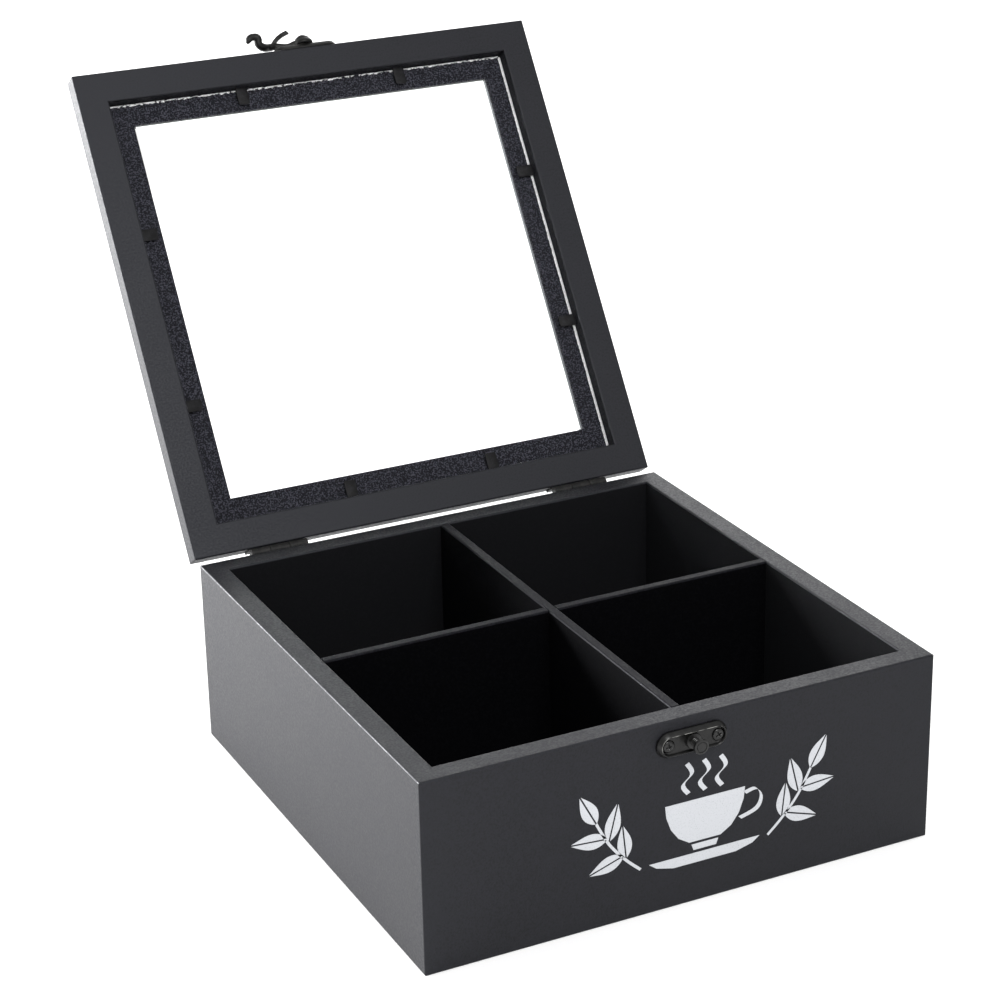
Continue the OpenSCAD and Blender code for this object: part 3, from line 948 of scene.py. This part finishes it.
@dataclass
class CrossScrew:
    """A pan-head wood screw with a cross recess, its head's underside at z = 0.

    Attributes:
        head_radius: Radius of the head.
        head_height: Height of the head.
        shank_radius: Radius of the shank.
        length: Length of the shank down to its tip.
    """

    head_radius: float
    head_height: float
    shank_radius: float
    length: float

    def model(self) -> Object:
        """Turns the screw and cuts its recess.

        Returns:
            The screw, in object mode.
        """
        r, h, s = self.head_radius, self.head_height, self.shank_radius
        profile = [(0.0, -self.length), (s * 0.25, -self.length + 0.2), (s, 2 * s - self.length), (s, 0.0),
                   (r * 0.96, 0.0), (r, h * 0.16), (r * 0.985, h * 0.38), (r * 0.9, h * 0.66),
                   (r * 0.7, h * 0.88), (r * 0.4, h * 0.985), (0.0, h)]
        screw = lathe("screw", profile, 40)
        for turn in (0.0, math.pi / 2):
            arm = begin(bpy.ops.mesh.primitive_cube_add, "arm", size=1.0, location=(0, 0, h * 0.62),
                        scale=(r * 1.28, r * 0.3, h), rotation=(0, 0, turn))
            choose(arm, "faces", lambda middle, normal: normal.z < -0.9)
            bpy.ops.transform.resize(value=(0.55, 0.55, 1.0), center_override=(0, 0, 0))
            close_up()
            cut(screw, arm)
        soften(screw, r * 0.025, 1)
        return screw

    def at(self, spots: list[Triple], name: str) -> Object:
        """Copies the screw to its places, each turned as a driver left it.

        Args:
            spots: Places as x, y and the height of the head's underside.
            name: Name of the joined screws.

        Returns:
            The screws, in object mode.
        """
        places = [Matrix.Translation(spot) @ Matrix.Rotation(turn, 4, "Z")
                  for spot, turn in zip(spots, (0.15, 0.42, 1.2, 0.83))]
        return copies(self.model(), places, name)


@dataclass
class Hinges:
    """The two hinges, which keep their CAD shapes, and their screws.

    Attributes:
        leaves: Nodes of the leaves.
        pins: Nodes of the pins.
        leaf_thick: Height of a leaf's face, which the screws' heads sit on.
    """

    leaves: tuple[str, ...] = (
        "left_hinge_box_leaf", "left_hinge_lid_leaf", "right_hinge_box_leaf", "right_hinge_lid_leaf")
    pins: tuple[str, ...] = ("left_hinge_pin", "right_hinge_pin")
    leaf_thick: float = 1.0

    def build(self) -> None:
        """Dresses the hinges and models their screws."""
        dress(HINGE_METAL, *self.leaves)
        dress(PIN_STEEL, *self.pins)
        material = SCREW_STEEL.material()
        spots = [(hinge * HINGE_X + side * LEAF_SCREW_X, 0.0, self.leaf_thick)
                 for hinge in (-1, 1) for side in (-1, 1)]
        screw = CrossScrew(head_radius=2.1, head_height=0.9, shank_radius=1.1, length=8.0)
        for name, node, z, body in (("box_leaf_screws", "hinge_box_screws", LEAF_SCREW_Z, Body.BOX),
                                    ("lid_leaf_screws", "hinge_lid_screws", LID_MIDDLE_Z, Body.LID)):
            screws = screw.at(spots, name)
            mount(screws, on_face(0.0, z, body is Body.LID, True), material, body, Slot.METAL, node)


@dataclass(frozen=True)
class TrayPlate:
    """A long plate with round ends, whose bevelled rim stands round a sunken floor.

    Attributes:
        height: Height of the plate on the face it lies on.
        width: Its length along the face.
        crest: Height of the rim.
        floor: Height of the floor.
        boss: Radius of the boss in the middle, or 0.
        screw_end: Distance of a screw from the plate's end.
    """

    height: float
    width: float = 32.8
    crest: float = 2.35
    floor: float = 1.35
    boss: float = 0.0
    screw_end: float = 4.8

    def screw_spots(self) -> list[Triple]:
        """Places of the plate's two screws."""
        reach = self.width / 2 - self.screw_end
        return [(-reach, 0.0, self.floor - 0.25), (reach, 0.0, self.floor - 0.25)]

    def model(self, name: str) -> Object:
        """Models the plate.

        Args:
            name: Name of the plate.

        Returns:
            The plate, in object mode.
        """
        half = self.height / 2
        plate = begin(bpy.ops.mesh.primitive_circle_add, name, vertices=64, radius=half, fill_type="NGON",
                      rotation=(0, 0, math.pi / 64))
        for side in (-1, 1):
            choose(plate, "verts", lambda middle, normal: middle.x * side > 0)
            bpy.ops.transform.translate(value=(side * (self.width / 2 - half), 0, 0))
        select_mesh()
        extrude((0, 0, self.crest * 0.3))
        for thickness, depth in ((half * 0.2, self.crest * 0.62), (half * 0.05, self.crest * 0.08),
                                 (half * 0.05, -self.crest * 0.08), (half * 0.07, self.floor - self.crest)):
            bpy.ops.mesh.inset(thickness=thickness, depth=depth)
        close_up()
        soften(plate, 0.16, 3)
        for x, _, _ in self.screw_spots():
            profile = [(0.0, 0.5), (2.62, 0.5), (2.95, self.floor - 0.1), (3.0, 5.0), (0.0, 5.0)]
            hole = lathe("hole", profile, 40)
            hole.data.transform(Matrix.Translation((x, 0, 0)))
            cut(plate, hole)
        if self.boss:
            ring = lathe("boss", [(0.0, 0.4), (self.boss, 0.4), (self.boss, 1.9), (self.boss - 0.25, 2.1),
                                  (0.0, 2.1)], 48)
            plate = join([plate, ring], name)
        return plate

    def fasten(self, name: str, node: str, place: Matrix, finish: Finish, body: Body) -> None:
        """Models the plate and its two screws, and mounts them.

        Args:
            name: Name of the plate, which its screws' name starts with.
            node: What the CAD nodes of the plate and its screws start with.
            place: Matrix from the plate's frame to the model's frame.
            finish: The plate's finish.
            body: The body that carries it.
        """
        mount(self.model(name), place, finish.material(), body, Slot.METAL, node + "_plate")
        screw = CrossScrew(head_radius=2.6, head_height=0.95, shank_radius=1.3, length=8.5)
        screws = screw.at(self.screw_spots(), name + "_screws")
        mount(screws, place, SCREW_STEEL.material(), body, Slot.METAL, node + "_screws")


@dataclass
class SwanHook:
    """The latch's hook: an eye, an arm, a grip round the stud, a swan's neck and head, and a finger tab.

    Lengths are in the frame of the rivet, with z out of the face.

    Attributes:
        eye_radius: Radius of the eye.
        eye_low: Height of the eye's underside.
        eye_high: Height of the eye's dome.
        bore: Radius of the hole for the rivet.
        voxel: Grain of the casting, in which the hook's parts run together.
    """

    eye_radius: float = 4.9
    eye_low: float = 2.85
    eye_high: float = 6.8
    bore: float = 1.62
    voxel: float = 0.15

    def spine(self) -> list[Rod]:
        """Places and radii from the arm to the tip of the beak.

        Returns:
            The places in order, as x, y, z and radius.
        """
        arm = [(-8.0, 2.0, 4.1, 1.1), (-11.5, 2.6, 4.6, 1.5)]
        grip = [(-13.4, 3.35, 5.1, 1.7), (-14.5, 4.1, 5.3, 1.8), (-15.6, 4.35, 5.3, 1.9),
                (-16.8, 4.15, 5.25, 1.95), (-18.2, 3.65, 5.15, 2.05)]
        neck = [(-19.7, 2.5, 5.0, 2.1), (-21.0, 1.8, 5.3, 2.05), (-22.1, 1.2, 6.1, 2.0),
                (-22.6, 0.9, 7.2, 2.0), (-22.4, 0.7, 8.3, 2.05), (-22.6, 0.5, 9.3, 2.1)]
        head = [(-23.3, 0.4, 9.95, 2.05), (-24.3, 0.3, 10.2, 1.85), (-25.5, 0.25, 10.15, 1.8),
                (-26.6, 0.2, 9.6, 1.75), (-27.4, 0.2, 8.8, 1.6), (-27.9, 0.2, 8.0, 1.3),
                (-28.2, 0.2, 7.4, 0.9), (-28.35, 0.2, 7.0, 0.35)]
        return arm + grip + neck + head

    def eye(self) -> Object:
        """The eye, domed towards the rivet, with its hole.

        Returns:
            The eye, in object mode.
        """
        r, low, high = self.eye_radius, self.eye_low, self.eye_high
        profile = [(self.bore, low), (r - 0.3, low), (r, low + 0.3), (r, low + 1.1), (r - 0.3, low + 1.7),
                   (r - 1.3, high - 0.9), (r - 1.6, high - 0.3), (r - 2.0, high), (r - 2.4, high - 0.1),
                   (self.bore, high - 0.3), (self.bore, low)]
        return lathe("eye", profile, 48)

    def arm(self) -> Object:
        """The flat bar from the eye to the shoulder.

        Returns:
            The bar, in object mode.
        """
        piece = begin(bpy.ops.mesh.primitive_cube_add, "arm", size=1.0,
                      location=(-3.8, 0.8, 4.1), scale=(2.0, 4.0, 2.3), rotation=(0, 0, -0.22))
        choose(piece, "faces", lambda middle, normal: normal.x < -0.9)
        for shift, shrink in (((-2.2, 0.5, -0.3), (1.0, 0.85, 0.75)), ((-6.6, 1.5, 0.6), (1.0, 0.85, 1.0))):
            extrude(shift)
            bpy.ops.transform.resize(value=shrink)
        close_up()
        return piece

    def tab(self) -> Object:
        """The finger tab, a flat bar that bends up over the arm and ends in a square cut.

        Returns:
            The tab, in object mode.
        """
        places = ((-14.3, 4.5, 5.6), (-13.6, 4.4, 6.7), (-12.5, 3.95, 8.0), (-11.0, 3.2, 9.1),
                  (-9.3, 2.2, 9.9), (-7.7, 1.6, 10.4), (-6.3, 1.1, 10.75))
        path = [Vector(place) for place in places]
        piece = begin(bpy.ops.mesh.primitive_cube_add, "tab", size=1.0, location=(0, 0, -0.05),
                      scale=(2.2, 2.4, 0.1))
        bpy.ops.object.mode_set(mode="OBJECT")
        piece.data.transform(Matrix.Translation(path[0]) @ Matrix.Rotation(0.86, 4, "Y"))
        bpy.ops.object.mode_set(mode="EDIT")
        choose(piece, "faces", lambda middle, normal: normal.x > 0.5 and normal.z > 0.5)
        for near, far in zip(path, path[1:]):
            extrude(far - near)
        close_up()
        return piece

    def build(self) -> None:
        """Models the hook and hangs it on its body."""
        swan = rod("swan", rounded_path(self.spine(), 5))
        hook = join([swan, self.eye(), self.arm(), self.tab()], "swan_hook")
        modify(hook, "REMESH", mode="VOXEL", voxel_size=self.voxel)
        modify(hook, "SMOOTH", factor=0.5, iterations=6)
        mount(hook, on_face(LATCH_X, LID_MIDDLE_Z, True), CAST_METAL.material(), Body.HOOK, Slot.METAL,
              "latch_hook", smooth_angle=60.0)


@dataclass
class Latch:
    """The plate, screws, rivet and hook on the lid."""

    plate: TrayPlate = TrayPlate(height=9.4, boss=3.1)

    def rivet(self) -> Object:
        """The rivet that the hook turns on, with a domed head.

        Returns:
            The rivet, in object mode.
        """
        profile = [(0.0, 0.2), (1.5, 0.2), (1.5, 6.75), (2.2, 6.8), (2.3, 6.95), (2.2, 7.2), (1.9, 7.5),
                   (1.3, 7.75), (0.6, 7.87), (0.0, 7.9)]
        return lathe("latch_rivet_head", profile, 48)

    def build(self) -> None:
        """Models the latch."""
        place = on_face(LATCH_X, LID_MIDDLE_Z, True)
        self.plate.fasten("lid_plate", "latch", place, LID_PLATE_METAL, Body.LID)
        mount(self.rivet(), place, PIN_STEEL.material(), Body.LID, Slot.STEEL, "latch_rivet")
        SwanHook().build()


@dataclass
class Catch:
    """The plate, screws and stud on the box."""

    plate: TrayPlate = TrayPlate(height=11.5, crest=2.9, floor=1.9)

    def stud(self) -> Object:
        """The stud: a collar, a ribbed neck, and a head with a turned groove in its face.

        Returns:
            The stud, in object mode.
        """
        neck = []
        for rib in range(4):
            low = 3.2 + rib * 0.9
            neck += [(1.95, low), (2.1, low + 0.15), (2.1, low + 0.5), (1.95, low + 0.65)]
        profile = [(0.0, -8.0), (1.2, -8.0), (1.5, -7.5), (1.5, 1.2), (3.3, 1.2), (3.5, 1.4), (3.5, 2.5),
                   (3.3, 2.8), (2.5, 3.0), *neck, (2.2, 7.25), (3.1, 7.35), (3.3, 7.5), (3.3, 8.35),
                   (3.2, 8.58), (2.95, 8.7), (2.5, 8.72), (2.35, 8.45), (2.1, 8.45), (1.95, 8.68),
                   (0.7, 8.74), (0.0, 8.74)]
        return lathe("catch_stud_turned", profile, 56)

    def build(self) -> None:
        """Models the catch."""
        place = on_face(LATCH_X, CATCH_Z, False)
        self.plate.fasten("box_plate", "catch", place, PLATE_METAL, Body.BOX)
        mount(self.stud(), place, SCREW_STEEL.material(), Body.BOX, Slot.METAL, "catch_stud")


# ---- Painted ornament, in millimetres


@dataclass
class Ornament:
    """A stencilled cup and two sprigs on the front, drawn about their own middle.

    Attributes:
        middle: Place of the ornament's middle on the front, as x and z.
        film: Thickness of the paint.
        vein: Half the width of a leaf's bare midrib.
    """

    middle: Pair = (8.5, 40.0)
    film: float = 0.06
    vein: float = 0.35

    def stroke(self, places: list[Pair], pen: Pair) -> Object:
        """A stroke of a broad pen.

        Args:
            places: Places along the stroke.
            pen: Width of the pen's nib, as x and y.

        Returns:
            The stroke, in object mode.
        """
        path = rounded_path([(x, y, 0.0, 0.0) for x, y in places], 6)
        piece = chain("stroke", [place.xyz for place in path])
        select_mesh()
        bpy.ops.mesh.extrude_edges_move(TRANSFORM_OT_translate={"value": (*pen, 0.0)})
        thicken(self.film)
        return piece

    def half_leaf(self, length: float, width: float) -> list[Pair]:
        """The upper half of a leaf that lies along x from its stalk.

        Args:
            length: Length of the leaf.
            width: Width of half a leaf.

        Returns:
            Corners of its outline, in order.
        """
        shares = [step / 14 for step in range(15)]
        edge = [(length * t, width * math.sin(math.pi * t ** 0.85) * (1 - 0.25 * t)) for t in shares]
        return [(x, max(y, 0.0) + self.vein) for x, y in edge] + [(0.0, self.vein)]

    def leaf(self, stalk: Pair, turn: float, length: float, width: float) -> Object:
        """A leaf in two halves, with its midrib left bare.

        Args:
            stalk: Place of its stalk end.
            turn: Direction of the leaf, in degrees.
            length: Length of the leaf.
            width: Width of half a leaf.

        Returns:
            The leaf, in object mode.
        """
        upper = sheet("leaf", self.half_leaf(length, width), self.film)
        place = Matrix.Translation((*stalk, self.film / 2)) @ Matrix.Rotation(math.radians(turn), 4, "Z")
        return copies(upper, [place, place @ Matrix.Rotation(math.pi, 4, "X")], "leaf")

    def cup(self) -> list[Object]:
        """The cup, its handle, its saucer and its steam.

        Returns:
            The pieces, in object mode.
        """
        bowl = [(-19.0, 8.0), (-18.4, 2.5), (-16.2, -3.5), (-12.6, -8.4), (-7.5, -11.6), (7.5, -11.6),
                (12.6, -8.4), (16.2, -3.5), (18.4, 2.5), (19.0, 8.0)]
        foot = [(-6.4, -12.8), (-5.4, -15.6), (5.4, -15.6), (6.4, -12.8)]
        dish = [(-26.5, -17.0), (-23.0, -19.6), (-15.0, -21.6), (15.0, -21.6), (23.0, -19.6), (26.5, -17.0)]
        pieces = [sheet("cup", outline, self.film) for outline in (bowl, foot, dish)]
        for piece in pieces:
            piece.data.transform(Matrix.Translation((0, 0, self.film / 2)))
        handle = [(18.2, 5.8), (23.5, 6.6), (26.2, 2.4), (24.0, -2.8), (16.0, -5.4)]
        pieces.append(self.stroke(handle, (1.5, -1.5)))
        for x in (-9.0, -1.0, 7.0):
            wisp = [(x, 11.0), (x - 2.6, 15.5), (x + 1.6, 20.0), (x - 0.8, 25.0)]
            pieces.append(self.stroke(wisp, (1.9, 0.9)))
        return pieces

    def sprig(self, side: int) -> Object:
        """A sprig of tea: a curved stalk with five leaves.

        Args:
            side: 1 for the sprig on the right, -1 for its mirror on the left.

        Returns:
            The sprig, in object mode.
        """
        pieces = [self.stroke([(30.0, -17.5), (37.0, -11.0), (44.5, -2.0), (50.5, 9.0)], (0.9, -0.9))]
        pieces += [self.leaf(*leaf) for leaf in (
            ((50.9, 8.6), 62.0, 15.5, 3.7), ((46.0, 0.4), 4.0, 16.5, 3.6), ((45.0, -0.8), 104.0, 16.5, 3.6),
            ((38.5, -9.4), -18.0, 16.5, 3.6), ((37.2, -10.6), 84.0, 15.0, 3.4))]
        sprig = join(pieces, "sprig")
        if side < 0:
            sprig.data.transform(Matrix.Scale(-1, 4, (1, 0, 0)))
            bpy.ops.object.mode_set(mode="EDIT")
            close_up()
        return sprig

    def build(self) -> None:
        """Draws the ornament on the front wall."""
        ornament = join([*self.cup(), self.sprig(1), self.sprig(-1)], "stencilled_ornament")
        mount(ornament, on_face(*self.middle, False), STENCIL.material(), Body.BOX, Slot.PAINT)


# ---- Studio


@dataclass(frozen=True)
class Softbox:
    """A square area light: its place and its side in metres, and its power in watts."""

    name: str
    at: Triple
    size: float
    power: float


@dataclass
class Studio:
    """The floor, the light and the camera, in metres.

    Attributes:
        azimuth: Turn of the camera round the box from the front, in radians.
        elevation: Its height over the floor as an angle, in radians.
        roll: Its turn about its own axis, in radians.
        distance: Its distance from the target.
        lens: Focal length, in mm, on a sensor as wide as full-frame film.
        target: Place that the camera looks at.
        aim: Place that the softboxes point at.
        room: Strength of the even light of the room.
        softboxes: The lamps.
    """

    azimuth: float = -0.45415
    elevation: float = 0.38833
    roll: float = -0.02034
    distance: float = 1.14057
    lens: float = 96.75
    target: Triple = (-0.030166, -0.013011, 0.148880)
    aim: Triple = (0.0, 0.0, 0.1)
    room: float = 0.8
    softboxes: tuple[Softbox, ...] = (
        Softbox("back_left_softbox", (-1.4, 1.6, 0.35), 1.0, 185.0),
        Softbox("back_right_softbox", (0.9, 1.7, 1.0), 1.2, 14.0),
        Softbox("front_softbox", (-0.05, -1.35, 1.55), 0.8, 31.0),
    )

    def camera(self) -> None:
        """Sets the camera on its tripod."""
        data = bpy.data.cameras.new("camera")
        data.lens, data.sensor_width, data.clip_end = self.lens, 36.0, 50.0
        camera = add_object("camera", data)
        turn = Matrix.Rotation(self.azimuth, 4, "Z") @ Matrix.Rotation(math.pi / 2 - self.elevation, 4, "X")
        back = Matrix.Rotation(self.roll, 4, "Z") @ Matrix.Translation((0, 0, self.distance))
        camera.matrix_world = Matrix.Translation(self.target) @ turn @ back
        bpy.context.scene.camera = camera

    def light(self) -> None:
        """Hangs the softboxes and fills the room with an even light."""
        for box in self.softboxes:
            data = bpy.data.lights.new(box.name, "AREA")
            data.size, data.energy = box.size, box.power
            lamp = add_object(box.name, data)
            lamp.location = box.at
            lamp.rotation_euler = (Vector(box.at) - Vector(self.aim)).to_track_quat("Z", "Y").to_euler()
        world = bpy.data.worlds.new("studio")
        world.use_nodes = True
        world.node_tree.nodes.clear()
        sky = add_node(world.node_tree, "Background", {"Color": linear("#ffffff"), "Strength": self.room})
        add_node(world.node_tree, "OutputWorld", {"Surface": sky})
        bpy.context.scene.world = world
        bpy.context.scene.view_settings.view_transform = "Standard"

    def floor(self) -> None:
        """Lays a wide pale floor."""
        floor = begin(bpy.ops.mesh.primitive_plane_add, "floor", size=16.0)
        bpy.ops.object.mode_set(mode="OBJECT")
        material = bpy.data.materials.new("white paper")
        material.use_nodes = True
        wire(material.node_tree.nodes["Principled BSDF"],
             {"Base Color": linear("#f8f8f8"), "Roughness": 0.9, "Specular IOR Level": 0.1})
        floor.data.materials.append(material)

    def build(self) -> None:
        """Sets up the studio."""
        self.camera()
        self.light()
        self.floor()


def main() -> None:
    """Builds the sub-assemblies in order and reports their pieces."""
    logging.basicConfig(level=logging.INFO, format="%(message)s")
    for assembly in (Studio(), Carcase(), Lid(), Hinges(), Latch(), Catch(), Ornament()):
        there = set(bpy.data.objects.keys())
        assembly.build()
        made = [name for name in bpy.data.objects.keys() if name not in there]
        LOG.info("built %s: %s", type(assembly).__name__, ", ".join(made) or "only finishes")


if __name__ == "__main__":
    main()
